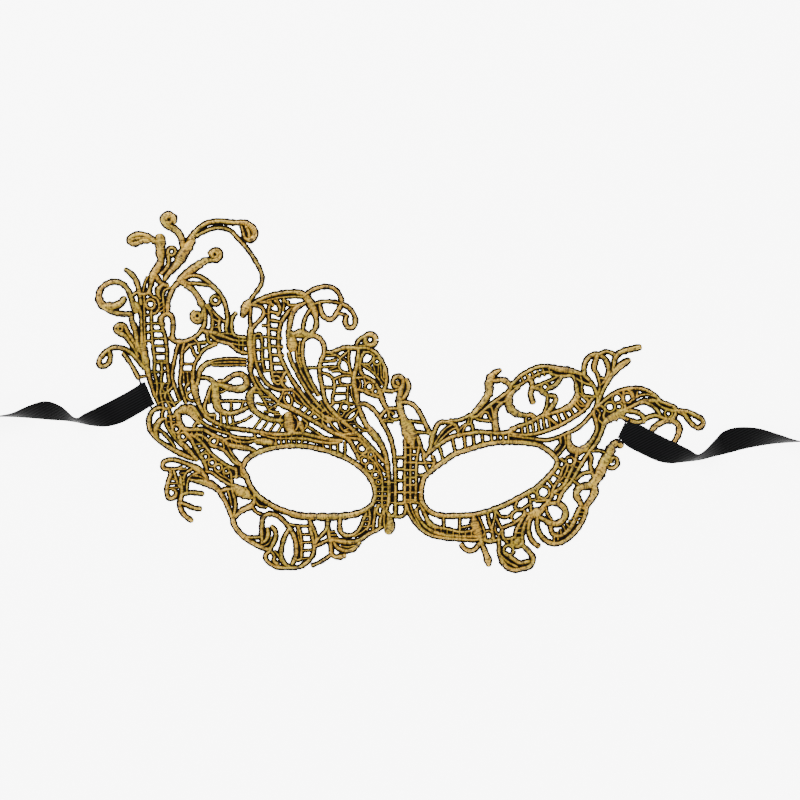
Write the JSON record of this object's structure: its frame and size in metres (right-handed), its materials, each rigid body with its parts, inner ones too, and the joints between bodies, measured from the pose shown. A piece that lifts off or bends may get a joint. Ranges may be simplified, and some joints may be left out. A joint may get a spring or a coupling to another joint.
{
  "type": "venetian masquerade mask",
  "caption": "Flat lace half-mask with an asymmetric crest, eye openings rimmed by cord, scrolled gold-stitched motifs and a black satin tie ribbon looped at each side.",
  "frame": {"origin": "on the flat back face at the bridge of the nose, midway between the two eye openings", "axes": "+X along the mask's width, away from the crest; +Y up towards the crest; +Z out of the front face"},
  "size_m": [0.4218, 0.1449, 0.0102],
  "materials": {
    "gold_thread": "metallic embroidery thread, satin-stitched",
    "dark_thread": "matt dark ground and edging thread",
    "black_satin": "black satin ribbon"
  },
  "bodies": {
    "lace": {"crest_tendrils": "gold_thread", "arch_tendril": "gold_thread", "crest_side_curl": "gold_thread", "crest_hooks": "gold_thread", "crest_spine": "gold_thread", "crest_lattice": "gold_thread", "crest_crown": "gold_thread", "crest_link": "gold_thread", "crest_scrolls": "gold_thread", "plume_rail": "gold_thread", "plume_ladders": "gold_thread", "plume_arc": "gold_thread", "plume_loop": "gold_thread", "plume_curls": "gold_thread", "fan_mesh": "gold_thread", "mesh_bands": "gold_thread", "brow_bands": "gold_thread", "left_eye_rim": "gold_thread", "temple_loops": "gold_thread", "temple_comb": "gold_thread", "left_cheek": "gold_thread", "left_cheek_point": "gold_thread", "nose_lattice": "gold_thread", "nose_curls": "gold_thread", "nose_bridge": "gold_thread", "centre_leaf": "gold_thread", "right_brow_ladder": "gold_thread", "right_horn": "gold_thread", "right_brow_scroll": "gold_thread", "right_tip_fronds": "gold_thread", "right_wing": "gold_thread", "right_wing_tip": "gold_thread", "right_temple": "gold_thread", "right_c_scroll": "gold_thread", "right_cheek_ring": "gold_thread", "right_cheek_loops": "gold_thread", "right_cheek_band": "gold_thread", "right_cheek_leaf": "gold_thread", "right_eye_rim": "gold_thread", "left_tie_bar": "dark_thread", "right_tie_bar": "dark_thread"},
    "left_ribbon": {"left_ribbon_loop": "black_satin", "left_ribbon_stitches": "black_satin", "left_ribbon_run": "black_satin", "left_ribbon_roll": "black_satin"},
    "right_ribbon": {"right_ribbon_loop": "black_satin", "right_ribbon_stitches": "black_satin", "right_ribbon_run": "black_satin", "right_ribbon_roll": "black_satin"}
  },
  "joints": [
    {"name": "left_ribbon_swing", "type": "hinge", "parent": "lace", "child": "left_ribbon", "pos_m": [-0.1037, 0.0342, 0.001], "axis": [-0.3993, 0.9168, 0], "range_deg": [-60, 110]},
    {"name": "right_ribbon_swing", "type": "hinge", "parent": "lace", "child": "right_ribbon", "pos_m": [0.08755, 0.0195, 0.001], "axis": [-0.4324, -0.9017, 0], "range_deg": [0, 110]}
  ]
}
